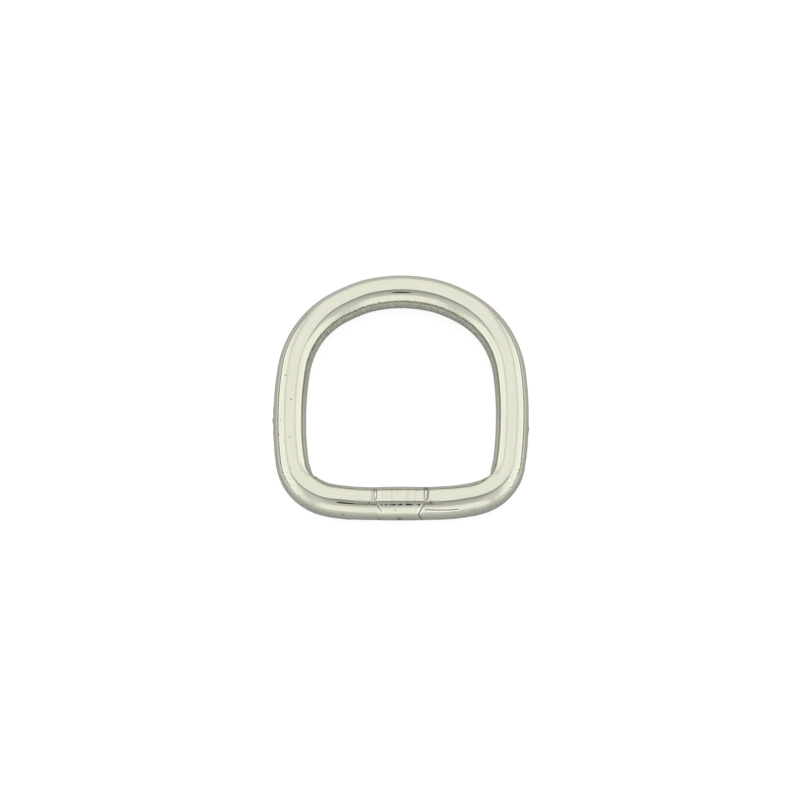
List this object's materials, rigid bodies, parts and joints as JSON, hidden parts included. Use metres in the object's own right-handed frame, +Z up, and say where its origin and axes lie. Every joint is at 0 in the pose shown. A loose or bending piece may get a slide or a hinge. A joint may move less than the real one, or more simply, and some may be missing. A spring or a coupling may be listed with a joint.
{
  "type": "welded d ring",
  "caption": "Welded D-ring of round polished wire: a rounded bow over a slightly bowed bar, to join a strap to a hook or buckle.",
  "frame": {"origin": "on the surface that the ring lies on, under the centre of its outline", "axes": "+Y from the bar to the top of the bow, +X along the bar to the right, +Z up, square to the ring's flat lie"},
  "size_m": [0.0272, 0.028, 0.0037],
  "materials": {
    "nickel_plate": "polished nickel plate on steel wire, with fine handling scratches"
  },
  "bodies": {
    "root": {"ring": "nickel_plate"}
  },
  "joints": []
}
